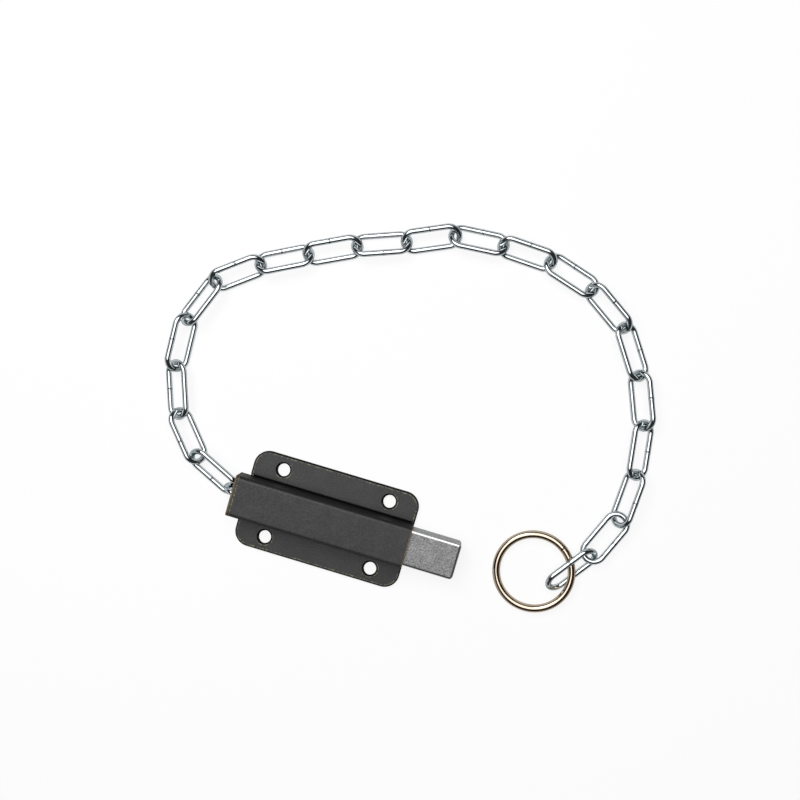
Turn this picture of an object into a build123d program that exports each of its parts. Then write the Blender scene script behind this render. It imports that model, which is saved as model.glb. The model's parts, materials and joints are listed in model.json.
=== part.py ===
from build123d import *
import os
from math import asin, cos, dist, radians, sin

# Spring-loaded pull-chain bolt for a door or gate: a folded steel case screwed to
# the door, a flat bolt that a spring holds shot, and a long-link chain with a pull
# ring that draws the bolt back through the open end of the case.
#
# Frame: millimetres, +Z up out of the door's face, +X the way the bolt shoots.
# The origin is the centre of the four screw holes, on the back face. The chain and
# the ring lie on the same plane as the back face, as on a bench.

# Case, folded from one sheet
sheet = 1.2
plate_length = 90.0
plate_width = 52.0
plate_corner = 8.0
mouth_overhang = 5.0
channel_height = 14.8
bend_radius = 1.0
relief_length = 1.6
relief_depth = 1.2

# Screw holes
hole_spacing_x = 58.0
hole_spacing_y = 37.0
hole_diameter = 7.0

# Bolt, a flat bar
bolt_width = 19.0
bolt_thickness = 13.5
bolt_length = 50.0
bolt_throw = 26.5
bolt_side_play = 0.2
bolt_back_play = 0.3
bar_edge = 1.0
nose_edge = 0.8

# Draw rod that joins the bolt to the chain
shank_diameter = 6.0
eye_width = 10.5
eye_thickness = 4.0
eye_hole = 5.0
screw_depth = 12.0
screw_play = 0.05
shoulder_play = 0.3

# Spring and the plate it pushes against
stop_thickness = 2.0
stop_hole_play = 0.4
spring_wire = 1.0
spring_diameter = 11.0
spring_turns = 10
seat_play = 0.1

# Chain
wire = 3.0
link_inner_length = 26.0
link_inner_width = 8.0
link_gap = 0.25
mouth_gap = 0.15
end_showing = 4.5

# How finely the chain is fitted
bow_steps = 24
leg_steps = 5
fit_step = 0.001

# Pull ring
ring_wire = 4.0
ring_outside = 43.0
ring_leg_gap = 0.35
ring_bearing = 201.0

# How the chain lies: for each link the way it points, in degrees from +X, how far its
# side towards the inside of the loop is rolled up from flat, and how far it is pushed
# back from where it would be pulled tight
lay = [
    (175, -77, 0), (155, 38, 0), (130, -44, 1.0), (109, 32, 0.5), (92, -43, 0.5),
    (68, 41, 0.5), (37, -35, 0), (27, 34, 0), (26, -33, 0), (20, 33, 0), (24, -30, 0),
    (4, 31, 0), (-3, -37, 0), (-17, 26, 0), (-34, -43, 0), (-56, 35, 0), (-68, -39, 0),
    (-82, 37, 0), (-93, -48, 0), (-113, -3, 0), (-126, 45, 0),
]

# Links that lie across a neighbour's low side instead of on the floor, and how high
perched = {1: sheet + mouth_gap, 19: wire + 2 * link_gap}

# Heights and stations that follow from the sizes above
flange_back = sheet
channel_inside = bolt_width + 2 * bolt_side_play
channel_outside = channel_inside + 2 * sheet
channel_top = flange_back + channel_height + sheet
case_nose = plate_length / 2
case_mouth = -plate_length / 2 - mouth_overhang
bolt_axis = flange_back + bolt_back_play + bolt_thickness / 2
bolt_nose = case_nose + bolt_throw
bolt_tail = bolt_nose - bolt_length

bow_radius = (link_inner_width + wire) / 2
half_leg = (link_inner_length + wire) / 2 - bow_radius
half_link = half_leg + bow_radius
ring_radius = (ring_outside - ring_wire) / 2

# The eye stands one link back from the mouth, so the first link shows its end there
eye_station = case_mouth - end_showing + 2 * half_link
shoulder = eye_station + eye_width / 2
stop_station = shoulder + shoulder_play
spring_start = stop_station + stop_thickness + seat_play
spring_end = bolt_tail - seat_play


class Link:
    """One chain link as it lies: its middle, its heading and its roll."""

    def __init__(self, middle, heading, roll):
        turn, tip = radians(heading), radians(roll)
        self.middle = middle
        self.along = (cos(turn), sin(turn), 0.0)
        self.across = (sin(turn) * cos(tip), -cos(turn) * cos(tip), sin(tip))

    def point(self, forward, inward):
        """A point of the link's own plane."""
        return tuple(
            m + forward * a + inward * w
            for m, a, w in zip(self.middle, self.along, self.across)
        )

    def bow(self, end):
        """Points on the wire's centreline round one end, legs included."""
        points = [
            self.point(end * half_leg + end * bow_radius * cos(angle), bow_radius * sin(angle))
            for angle in (radians(90 - 180 * i / bow_steps) for i in range(bow_steps + 1))
        ]
        for back in range(1, leg_steps + 1):
            points.append(self.point(end * (half_leg - back), bow_radius))
            points.append(self.point(end * (half_leg - back), -bow_radius))
        return points

    @property
    def plane(self):
        along, across = Vector(*self.along), Vector(*self.across)
        return Plane(origin=self.middle, x_dir=along, z_dir=along.cross(across))


def level_link(start, heading, roll, floor=0.0):
    """A level link whose near end is over a start point, its low side on a floor."""
    height = floor + wire / 2 + bow_radius * abs(sin(radians(roll)))
    middle = Link((start[0], start[1], height), heading, roll).point(half_link, 0)
    return Link(middle, heading, roll)


def hooked(last, heading, roll, floor, reach):
    """The next link, with its end a given reach behind the last link's end."""
    bow = Vector(*last.point(half_link, 0))
    onward = Vector(cos(radians(heading)), sin(radians(heading)), 0)
    start = bow - (Vector(*last.along) + onward).normalized() * reach
    return level_link((start.X, start.Y), heading, roll, floor)


def wires_apart(last, link):
    """Shortest way between the centrelines where two links are hooked together."""
    return min(dist(a, b) for a in last.bow(1) for b in link.bow(-1))


def next_link(last, heading, roll, slack, floor):
    """The next link, its slack short of where the two wires are a link gap apart."""
    near, far = 0.0, 3 * wire
    while far - near > fit_step:
        reach = (near + far) / 2
        if wires_apart(last, hooked(last, heading, roll, floor, reach)) < wire + link_gap:
            near = reach
        else:
            far = reach
    return hooked(last, heading, roll, floor, far + slack)


def lay_chain():
    """All the links, from the eye in the case to the pull ring."""
    heading, roll, _ = lay[0]
    links = [level_link((eye_station, 0), heading, roll, floor=sheet + mouth_gap)]
    for number, (heading, roll, slack) in enumerate(lay[1:], 1):
        links.append(next_link(links[-1], heading, roll, slack, perched.get(number, 0.0)))
    return links


def ring_plane(last):
    """The ring leans on the last link's low leg and touches the floor across from it."""
    low, high = ring_wire / 2, wire + ring_leg_gap + ring_wire / 2
    tilt = asin((high - low) / (2 * ring_radius))
    bearing = radians(ring_bearing)
    slope = Vector(cos(bearing) * cos(tilt), sin(bearing) * cos(tilt), -sin(tilt))
    level = Vector(-sin(bearing), cos(bearing), 0)
    crossing = Vector(last.middle[0], last.middle[1], high)
    return Plane(origin=crossing + slope * ring_radius, x_dir=slope, z_dir=slope.cross(level))


def finish(name, solid):
    """Label a piece and write it out."""
    solid.label = name
    export_step(solid, f"parts/{name}.step")


os.makedirs("parts", exist_ok=True)
chain = lay_chain()

# Case: a hat section with four screw holes, its channel longer at the chain end
flange_middle = flange_back + sheet / 2
wall_middle = (channel_inside + sheet) / 2
roof_middle = channel_top - sheet / 2

with BuildPart() as case:
    with BuildSketch(Plane.YZ.offset(-plate_length / 2)):
        with BuildLine():
            FilletPolyline(
                (-plate_width / 2, flange_middle),
                (-wall_middle, flange_middle),
                (-wall_middle, roof_middle),
                (wall_middle, roof_middle),
                (wall_middle, flange_middle),
                (plate_width / 2, flange_middle),
                radius=bend_radius + sheet / 2,
            )
        trace(line_width=sheet)
    extrude(amount=plate_length)
    fillet(case.edges().filter_by(Axis.Z).group_by(Axis.Y)[0], plate_corner)
    fillet(case.edges().filter_by(Axis.Z).group_by(Axis.Y)[-1], plate_corner)
    with BuildSketch(Plane.YZ.offset(case_mouth)):
        with BuildLine():
            FilletPolyline(
                (-wall_middle, flange_back),
                (-wall_middle, roof_middle),
                (wall_middle, roof_middle),
                (wall_middle, flange_back),
                radius=bend_radius + sheet / 2,
            )
        trace(line_width=sheet)
    extrude(amount=mouth_overhang)
    with BuildSketch(Plane.XY.offset(flange_back)):
        with GridLocations(plate_length - relief_length, channel_outside + relief_depth, 2, 2):
            Rectangle(relief_length, relief_depth)
    extrude(amount=sheet + bend_radius, mode=Mode.SUBTRACT)
    with GridLocations(hole_spacing_x, hole_spacing_y, 2, 2):
        Hole(hole_diameter / 2)
finish("case", case.part)

# Back plate: closes the channel behind the bolt, same outline and holes as the case
with BuildPart() as back_plate:
    with BuildSketch():
        RectangleRounded(plate_length, plate_width, plate_corner)
        with GridLocations(hole_spacing_x, hole_spacing_y, 2, 2):
            Circle(hole_diameter / 2, mode=Mode.SUBTRACT)
    extrude(amount=sheet)
finish("back_plate", back_plate.part)

# Spring stop: a plate welded across the channel, bored for the draw rod
with BuildPart() as spring_stop:
    with BuildSketch(Plane.YZ.offset(stop_station)) as stop_face:
        with Locations((0, flange_back + channel_height / 2)):
            Rectangle(channel_inside, channel_height)
        fillet(stop_face.vertices().group_by(Axis.Y)[-1], bend_radius)
        with Locations((0, bolt_axis)):
            Circle(shank_diameter / 2 + stop_hole_play, mode=Mode.SUBTRACT)
    extrude(amount=stop_thickness)
finish("spring_stop", spring_stop.part)

# Bolt: a flat bar with rolled edges, tapped in its tail for the draw rod
with BuildPart() as bolt:
    with BuildSketch(Plane.YZ.offset(bolt_tail)):
        with Locations((0, bolt_axis)):
            RectangleRounded(bolt_width, bolt_thickness, bar_edge)
    extrude(amount=bolt_length)
    fillet(bolt.faces().sort_by(Axis.X)[-1].edges(), nose_edge)
    with BuildSketch(Plane.YZ.offset(bolt_tail)):
        with Locations((0, bolt_axis)):
            Circle(shank_diameter / 2 + screw_play)
    extrude(amount=screw_depth, mode=Mode.SUBTRACT)
finish("bolt", bolt.part)

# Draw rod: a round shank screwed into the bolt, flattened to an eye for the chain
with BuildPart() as draw_rod:
    with BuildSketch(Plane.YZ.offset(shoulder)):
        with Locations((0, bolt_axis)):
            Circle(shank_diameter / 2)
    extrude(amount=bolt_tail + screw_depth - shoulder)
    with BuildSketch(Plane.XY.offset(bolt_axis - eye_thickness / 2)):
        with Locations((eye_station, 0)):
            Circle(eye_width / 2)
            Rectangle(eye_width / 2, eye_width, align=(Align.MIN, Align.CENTER))
            Circle(eye_hole / 2, mode=Mode.SUBTRACT)
    extrude(amount=eye_thickness)
finish("draw_rod", draw_rod.part)

# Spring: an open coil round the shank, ground flat at both ends
spring_length = spring_end - spring_start
spring_pitch = spring_length / spring_turns
with BuildPart() as spring:
    with BuildLine() as coil:
        Helix(
            pitch=spring_pitch,
            height=spring_length,
            radius=(spring_diameter - spring_wire) / 2,
            center=(spring_start, 0, bolt_axis),
            direction=(1, 0, 0),
        )
    with BuildSketch(Plane(origin=coil.line @ 0, z_dir=coil.line % 0)):
        Circle(spring_wire / 2)
    sweep(is_frenet=True)
    with BuildSketch(Plane.YZ.offset(spring_start)):
        with Locations((0, bolt_axis)):
            Circle(spring_diameter)
    extrude(amount=spring_length, mode=Mode.INTERSECT)
finish("spring", spring.part)

# Chain: closed links of round wire, each swept round its own plane
for number, link in enumerate(chain):
    with BuildPart() as chain_link:
        with BuildLine(link.plane) as centreline:
            Line((-half_leg, bow_radius), (half_leg, bow_radius))
            ThreePointArc((half_leg, bow_radius), (half_link, 0), (half_leg, -bow_radius))
            Line((half_leg, -bow_radius), (-half_leg, -bow_radius))
            ThreePointArc((-half_leg, -bow_radius), (-half_link, 0), (-half_leg, bow_radius))
        with BuildSketch(Plane(origin=centreline.line @ 0, z_dir=centreline.line % 0)):
            Circle(wire / 2)
        sweep()
    finish(f"link_{number:02d}", chain_link.part)

# Pull ring: round wire threaded by the last link
with BuildPart(ring_plane(chain[-1])) as pull_ring:
    Torus(ring_radius, ring_wire / 2)
finish("pull_ring", pull_ring.part)
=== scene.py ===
"""Spring-loaded pull-chain bolt: its visible pieces, finishes, light and camera.

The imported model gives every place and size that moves. Each class below builds one
sub-assembly in the frame's own coordinates, dresses it and lets it ride on its body.
Lengths in the dataclasses are millimetres, and meshes are metres.
"""

import json
import logging
import math
from dataclasses import dataclass
from enum import Enum
from functools import cached_property
from itertools import accumulate

import bmesh
import bpy
import numpy as np
from mathutils import Matrix, Vector


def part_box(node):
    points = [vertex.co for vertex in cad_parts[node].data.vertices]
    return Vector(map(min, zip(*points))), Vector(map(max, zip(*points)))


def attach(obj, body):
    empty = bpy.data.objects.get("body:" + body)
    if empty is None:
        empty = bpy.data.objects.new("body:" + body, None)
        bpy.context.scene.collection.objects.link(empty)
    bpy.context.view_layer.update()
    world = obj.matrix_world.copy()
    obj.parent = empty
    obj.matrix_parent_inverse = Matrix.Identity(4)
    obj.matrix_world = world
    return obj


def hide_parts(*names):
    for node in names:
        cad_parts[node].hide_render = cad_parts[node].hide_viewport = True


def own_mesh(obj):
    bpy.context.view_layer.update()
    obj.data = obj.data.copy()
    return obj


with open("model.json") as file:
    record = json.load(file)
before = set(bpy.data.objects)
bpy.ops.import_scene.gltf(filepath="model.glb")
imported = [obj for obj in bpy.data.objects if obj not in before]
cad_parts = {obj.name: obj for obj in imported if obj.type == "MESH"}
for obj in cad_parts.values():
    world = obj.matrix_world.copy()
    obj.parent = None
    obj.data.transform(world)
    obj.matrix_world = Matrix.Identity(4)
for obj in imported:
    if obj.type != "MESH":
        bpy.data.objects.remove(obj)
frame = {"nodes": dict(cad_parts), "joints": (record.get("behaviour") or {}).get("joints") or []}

MM = 0.001
SAME_POINT = 0.0005
LINK_COUNT = 21
LOG = logging.getLogger("pull_chain_bolt")

Colour = tuple[float, float, float]
Band = tuple[float, float]
Sockets = dict[str | int, object]
Socket = bpy.types.NodeSocket


@dataclass(frozen=True)
class CaseSizes:
    """The sizes that the folded case, its back plate, its stop and their coat share."""

    sheet: float = 1.2
    half_length: float = 45.0
    half_width: float = 26.0
    corner: float = 8.0
    mouth: float = -50.0
    channel_half: float = 9.7
    channel_height: float = 14.8
    bend: float = 1.0
    hole_place: tuple[float, float] = (29.0, 18.5)
    hole_radius: float = 3.5

    @property
    def channel_outside(self) -> float:
        """Half the channel's width over its walls."""
        return self.channel_half + self.sheet

    @property
    def top(self) -> float:
        """The roof's height over the back face, with both sheets."""
        return self.channel_height + 2 * self.sheet

    @property
    def bend_middle(self) -> float:
        """The radius of a fold at the middle of the sheet."""
        return self.bend + self.sheet / 2


# Node trees


class Signal:
    """A number on a node's socket that takes Python's arithmetic."""

    def __init__(self, sheet: "NodeSheet", socket: Socket) -> None:
        """Keeps the sheet that new nodes go on and the socket that holds the number."""
        self.sheet = sheet
        self.socket = socket

    def _math(self, operation: str, *values: object) -> "Signal":
        """Adds one Math node and returns its result."""
        return self.sheet.math(operation, *values)

    def __add__(self, other: object) -> "Signal":
        """This number plus another."""
        return self._math("ADD", self, other)

    __radd__ = __add__

    def __sub__(self, other: object) -> "Signal":
        """This number minus another."""
        return self._math("SUBTRACT", self, other)

    def __rsub__(self, other: object) -> "Signal":
        """Another number minus this one."""
        return self._math("SUBTRACT", other, self)

    def __mul__(self, other: object) -> "Signal":
        """This number times another."""
        return self._math("MULTIPLY", self, other)

    __rmul__ = __mul__

    def __truediv__(self, other: object) -> "Signal":
        """This number over another."""
        return self._math("DIVIDE", self, other)

    def __abs__(self) -> "Signal":
        """This number without its sign."""
        return self._math("ABSOLUTE", self)

    def beside(self, out: str | int) -> "Signal":
        """Another output of the node that this number comes from."""
        return Signal(self.sheet, self.socket.node.outputs[out])

    def root(self) -> "Signal":
        """The square root."""
        return self._math("SQRT", self)

    def least(self, other: object) -> "Signal":
        """The smaller of this number and another."""
        return self._math("MINIMUM", self, other)

    def most(self, other: object) -> "Signal":
        """The larger of this number and another."""
        return self._math("MAXIMUM", self, other)

    def between(self, first: Band, second: Band) -> "Signal":
        """The product of two smooth steps, such as one up and one down."""
        return self.step(*first) * self.step(*second)

    def step(self, start: float, end: float) -> "Signal":
        """A smooth step: 0 at start and 1 at end.

        Args:
            start: the value at which the step begins.
            end: the value at which it is complete, which may be below start.

        Returns:
            The step as a number from 0 to 1.
        """
        return self.sheet.node(
            "ShaderNodeMapRange",
            {"interpolation_type": "SMOOTHSTEP", "clamp": True},
            {"Value": self, "From Min": start, "From Max": end, "To Min": 0.0, "To Max": 1.0},
        )


class NodeSheet:
    """A node tree of any kind, with short calls for its nodes."""

    def __init__(self, tree: bpy.types.NodeTree) -> None:
        """Takes a tree and empties it."""
        self.tree = tree
        self.tree.nodes.clear()

    def _feed(self, socket: Socket, value: object) -> None:
        """Links a signal to a socket, or sets the socket's own value."""
        if isinstance(value, Signal):
            self.tree.links.new(value.socket, socket)
        elif isinstance(value, tuple) and len(value) == 3 and socket.type == "RGBA":
            socket.default_value = (*value, 1.0)
        else:
            socket.default_value = value

    def node(
        self,
        kind: str,
        settings: dict[str, object] | None = None,
        sockets: Sockets | None = None,
        out: str | int = 0,
    ) -> Signal:
        """Adds any node.

        Args:
            kind: the node's type.
            settings: properties that are set first, such as an operation.
            sockets: values or signals for its inputs, by name or number.
            out: the output that is returned.

        Returns:
            That output.
        """
        made = self.tree.nodes.new(kind)
        for key, value in (settings or {}).items():
            setattr(made, key, value)
        for key, value in (sockets or {}).items():
            self._feed(made.inputs[key], value)
        return Signal(self, made.outputs[out])

    def math(self, operation: str, *values: object) -> Signal:
        """Adds a Math node of that operation on the values."""
        return self.node("ShaderNodeMath", {"operation": operation}, dict(enumerate(values)))

    def split(self, vector: Signal) -> tuple[Signal, Signal, Signal]:
        """The three numbers of a vector."""
        x = self.node("ShaderNodeSeparateXYZ", None, {0: vector})
        return x, x.beside(1), x.beside(2)

    def combined(self, x: object, y: object, z: object = 0.0) -> Signal:
        """A vector of three numbers."""
        return self.node("ShaderNodeCombineXYZ", None, {0: x, 1: y, 2: z})


class ShaderSheet(NodeSheet):
    """A shader tree, with short calls for the nodes that the finishes and the room use."""

    @cached_property
    def coords(self) -> Signal:
        """Object coordinates, in metres."""
        return self.node("ShaderNodeTexCoord", out="Object")

    def millimetres(self) -> tuple[Signal, Signal, Signal]:
        """The object's X, Y and Z in millimetres."""
        return self.split(self.vector("SCALE", {0: self.coords, "Scale": 1.0 / MM}))

    def vector(self, operation: str, sockets: Sockets, out: str | int = 0) -> Signal:
        """Adds a Vector Math node of that operation."""
        return self.node("ShaderNodeVectorMath", {"operation": operation}, sockets, out)

    def stretched(self, x: float, y: float, z: float) -> Signal:
        """Object coordinates with each axis scaled, for a pattern longer one way."""
        return self.vector("MULTIPLY", {0: self.coords, 1: (x, y, z)})

    def noise(
        self, grain: float, detail: float, rough: float = 0.55, coords: Signal | None = None
    ) -> Signal:
        """Noise whose features are about grain millimetres across."""
        return self.node("ShaderNodeTexNoise", {"noise_dimensions": "3D"}, {
            "Vector": coords or self.coords, "Scale": 1.0 / (grain * MM), "Detail": detail,
            "Roughness": rough,
        })

    def cells(self, grain: float) -> Signal:
        """Distance pattern of cells about grain millimetres across."""
        return self.node("ShaderNodeTexVoronoi", {"feature": "F1"}, {
            "Vector": self.coords, "Scale": 1.0 / (grain * MM)})

    def mix(self, share: object, first: object, second: object) -> Signal:
        """A colour between two colours."""
        return self.node(
            "ShaderNodeMix", {"data_type": "RGBA"}, {0: share, 6: first, 7: second}, out=2)

    def bump(self, height: Signal, depth: float, strength: float) -> Signal:
        """A normal from a height from 0 to 1, depth millimetres deep."""
        return self.node("ShaderNodeBump", None, {
            "Height": height, "Distance": depth * MM, "Strength": strength})

    def attribute(self, name: str) -> Signal:
        """A number that the mesh carries."""
        return self.node("ShaderNodeAttribute", {"attribute_name": name}, out="Fac")

    def end_in(self, surface: Signal, kind: str = "ShaderNodeOutputMaterial") -> None:
        """Joins a shader to the tree's output."""
        output = self.tree.nodes.new(kind)
        self.tree.links.new(surface.socket, output.inputs["Surface"])


class FinishSheet(ShaderSheet):
    """The shader tree of one new material."""

    def __init__(self, name: str) -> None:
        """Makes an empty material of that name."""
        self.material = bpy.data.materials.new(name)
        self.material.use_nodes = True
        super().__init__(self.material.node_tree)

    def principled(self, **sockets: object) -> bpy.types.Material:
        """Adds the surface shader, joins it to the output and returns the material."""
        named = {key.replace("_", " "): value for key, value in sockets.items()}
        self.end_in(self.node("ShaderNodeBsdfPrincipled", None, named, out="BSDF"))
        return self.material


# Finishes


def shaded(colour: Colour, factor: float) -> Colour:
    """The same hue, that many times as bright."""
    return tuple(factor * channel for channel in colour)


@dataclass(frozen=True)
class PowderCoat:
    """Satin black powder coat, thin and brownish where the sheet was sheared.

    A band gives where something fades in or out: from a rim or a hole's edge inwards, from
    the channel's walls outwards, from the back face or the roof up, or from an end inwards.
    The rims, the hole edges, the folds at the walls' feet and the walls are mixed towards
    black as painted shade, and the olive lines inside the rims, round the holes and near the
    mouth are partly thin coat and partly a painted highlight.
    """

    colour: Colour = (0.026, 0.026, 0.0265)
    # Olive of the thin coat at sheared rims, which also stands in for a painted highlight there.
    thin_coat_glint_colour: Colour = (0.27, 0.25, 0.13)
    bare_colour: Colour = (0.17, 0.105, 0.028)
    # The colour of the painted shade at rims, hole edges, folds and walls.
    black: Colour = (0.002, 0.002, 0.002)
    roughness: float = 0.5
    cloud_grain: float = 9.0
    grit_grain: float = 0.8
    chip_grain: float = 1.4
    peel_depth: float = 0.07
    # Band of painted shade inside the rims, and two lines down the same round the holes.
    rim_painted_shade: Band = (0.65, 0.4)
    # Olive lines inside the rims and round the holes, and the side of each hole where the ring shows:
    # partly thin coat, partly a painted highlight.
    rim_glint_and_wear_line: tuple[Band, Band] = ((0.75, 0.95), (1.45, 1.2))
    hole_painted_shade: Band = (0.75, 0.5)
    hole_glint_and_wear_line: tuple[Band, Band] = ((0.85, 1.0), (1.45, 1.2))
    hole_glint_and_wear_way: tuple[float, float] = (0.8, -0.6)
    hole_glint_and_wear_side: Band = (-0.35, 0.1)
    flange_only: Band = (5.0, 4.0)
    # fold_across and fold_up place the painted shade at the walls' feet, and the wall bands below
    # place the painted shade on the walls.
    fold_across: Band = (1.3, 0.7)
    fold_up: Band = (4.2, 3.2)
    channel_across: Band = (0.2, -0.2)
    channel_up: Band = (3.0, 4.5)
    wall_across: Band = (-1.6, -0.6)
    wall_up: Band = (3.0, 3.6)
    wall_below_top: Band = (-0.01, -0.9)
    upper_fold: tuple[Band, Band] = ((-0.003, -0.08), (-2.6, -2.0))
    mouth_bare: Band = (1.0, 0.55)
    mouth_glint_and_wear_line: tuple[Band, Band] = ((1.5, 1.7), (2.2, 1.95))
    nose_bare: Band = (0.6, 0.3)
    sizes: CaseSizes = CaseSizes()

    def _rim_distance(self, x: Signal, y: Signal) -> tuple[Signal, Signal, Signal]:
        """Finds how far a point lies from the rims.

        Args:
            x: the point's X in millimetres.
            y: its Y.

        Returns:
            How far it lies inside the plate's outline and outside the nearest hole, and
            whether that is on the hole's side where the olive ring shows, which is partly
            thin coat and partly a painted highlight.
        """
        sizes = self.sizes
        over_x = (abs(x) - (sizes.half_length - sizes.corner)).most(0.0)
        over_y = (abs(y) - (sizes.half_width - sizes.corner)).most(0.0)
        outline = sizes.corner - (over_x * over_x + over_y * over_y).root()
        hole_x = abs(x) - sizes.hole_place[0]
        hole_y = abs(y) - sizes.hole_place[1]
        reach = (hole_x * hole_x + hole_y * hole_y).root()
        right = x - (x.step(-0.1, 0.1) * 2 - 1) * sizes.hole_place[0]
        ahead = y - (y.step(-0.1, 0.1) * 2 - 1) * sizes.hole_place[1]
        towards = right * self.hole_glint_and_wear_way[0] + ahead * self.hole_glint_and_wear_way[1]
        # The side of each hole that gets the olive ring, which is partly thin coat and partly a
        # painted highlight.
        worn = (towards / reach.most(0.1)).step(*self.hole_glint_and_wear_side)
        return outline, reach - sizes.hole_radius, worn

    def _bare_ends_and_painted_shade(
        self, sheet: FinishSheet, place: tuple[Signal, Signal, Signal], body: Signal, broken: Signal
    ) -> tuple[Signal, Signal]:
        """Wears the channel's two ends bare, adds an olive line near the mouth that is partly thin
        coat and partly a painted highlight, and paints shade on its walls and folds.

        Args:
            sheet: the coat's shader tree.
            place: the point's X, Y and Z in millimetres.
            body: the coat's colour so far.
            broken: the pattern that breaks up the olive lines and the bare patches.

        Returns:
            The new colour, and how dull the folds and walls are.
        """
        x, y, z = place
        beyond = abs(y) - self.sizes.channel_outside
        below_top = z - self.sizes.top
        from_mouth = x - self.sizes.mouth
        from_nose = self.sizes.half_length - x
        fold = beyond.step(*self.fold_across) * z.step(*self.fold_up)
        raised = z.step(*self.channel_up) * beyond.step(*self.channel_across)
        outer = beyond.step(*self.wall_across)
        walls = z.step(*self.wall_up) * below_top.step(*self.wall_below_top) * outer
        line = from_mouth.between(*self.mouth_glint_and_wear_line)
        bare = from_mouth.step(*self.mouth_bare).most(from_nose.step(*self.nose_bare))
        bend = below_top.between(*self.upper_fold) * outer
        # Painted shade: the folds at the walls' feet are mixed almost to black.
        body = sheet.mix(fold * 0.92, body, self.black)
        # Painted shade: the walls are mixed towards black.
        body = sheet.mix(walls * 0.7, body, self.black)
        # Olive line near the mouth: partly thin coat, partly a painted highlight.
        body = sheet.mix(raised * line * broken * 0.75, body, self.thin_coat_glint_colour)
        body = sheet.mix(bare * raised * (0.6 + 0.4 * broken), body, self.bare_colour)
        return body, fold.most(walls * 0.6).most(bend * 0.5)

    def material(self, name: str, channel: bool) -> bpy.types.Material:
        """Builds the coat.

        Args:
            name: the material's name.
            channel: whether the piece has the channel, whose ends are worn bare and whose folds
                and walls get painted shade.

        Returns:
            The material.
        """
        sheet = FinishSheet(name)
        x, y, z = sheet.millimetres()
        outline, hole, glint_and_wear_side = self._rim_distance(x, y)
        cloud = sheet.noise(self.cloud_grain, 2.0)
        grit = sheet.noise(self.grit_grain, 2.0, 0.6)
        peel = sheet.noise(self.grit_grain, 2.0, 0.5)
        broken = sheet.noise(self.chip_grain, 4.0, 0.75).step(0.48, 0.6)
        low = z.step(*self.flange_only)
        # Olive lines inside the rims and on one side of each hole: partly thin coat, partly a painted
        # highlight.
        line = outline.between(*self.rim_glint_and_wear_line) * low
        ring = hole.between(*self.hole_glint_and_wear_line) * glint_and_wear_side
        body = sheet.mix(cloud.step(0.3, 0.75), self.colour, shaded(self.colour, 1.25))
        body = sheet.mix(grit.step(0.4, 0.68) * 0.6, body, shaded(self.colour, 0.4))
        body = sheet.mix(line.most(ring) * broken * 0.8, body, self.thin_coat_glint_colour)
        # Painted shade: the rims and the hole edges are mixed almost to black, and the same mask
        # raises metallic and roughness.
        dull = (outline.step(*self.rim_painted_shade) * low).most(hole.step(*self.hole_painted_shade))
        body = sheet.mix(dull * 0.95, body, self.black)
        if channel:
            body, deep = self._bare_ends_and_painted_shade(sheet, (x, y, z), body, broken)
            dull = dull.most(deep)
        return sheet.principled(
            Base_Color=body,
            Metallic=dull * 0.9,
            Roughness=self.roughness + 0.3 * (grit - 0.5) - 0.06 * cloud + 0.3 * dull,
            Normal=sheet.bump(peel * 0.6 + grit * 0.4, self.peel_depth, 0.6),
            IOR=1.42,
        )


@dataclass(frozen=True)
class TumbledBar:
    """Flat bar that was barrel tumbled and zinc plated: a dull mottle with fine scratches."""

    dark: Colour = (0.09, 0.09, 0.091)
    pale: Colour = (0.30, 0.30, 0.303)
    rubbed: Colour = (0.55, 0.55, 0.56)
    half_width: float = 9.5
    nose: float = 71.5
    edge: Band = (1.4, 1.0)
    top: Band = (14.2, 14.7)
    blotch_grain: float = 0.75
    dent_grain: float = 0.9
    cloud_grain: float = 4.0
    scratch_grain: float = 0.5
    mottle_depth: float = 0.05

    def material(self, name: str) -> bpy.types.Material:
        """Builds the finish."""
        sheet = FinishSheet(name)
        x, y, z = sheet.millimetres()
        blotch = sheet.noise(self.blotch_grain, 4.0, 0.68)
        dents = sheet.cells(self.dent_grain)
        wide = sheet.noise(self.cloud_grain, 2.0)
        scratch = sheet.noise(self.scratch_grain, 3.0, 0.6, sheet.stretched(0.2, 1.0, 1.0))
        mottle = (blotch * 0.7 + dents * 0.16 + scratch * 0.25 + wide * 0.15).step(0.42, 0.84)
        inside = (self.half_width - abs(y)).least(self.nose - x)
        smooth = inside.step(*self.edge) * z.step(*self.top)
        relief = (blotch * 0.6 + dents * 0.4) * (1 - 0.9 * smooth)
        return sheet.principled(
            Base_Color=sheet.mix(smooth * 0.85, sheet.mix(mottle, self.dark, self.pale), self.rubbed),
            Metallic=0.9,
            Roughness=0.5 - 0.12 * mottle - 0.27 * smooth,
            Normal=sheet.bump(relief, self.mottle_depth, 0.6),
        )


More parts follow.
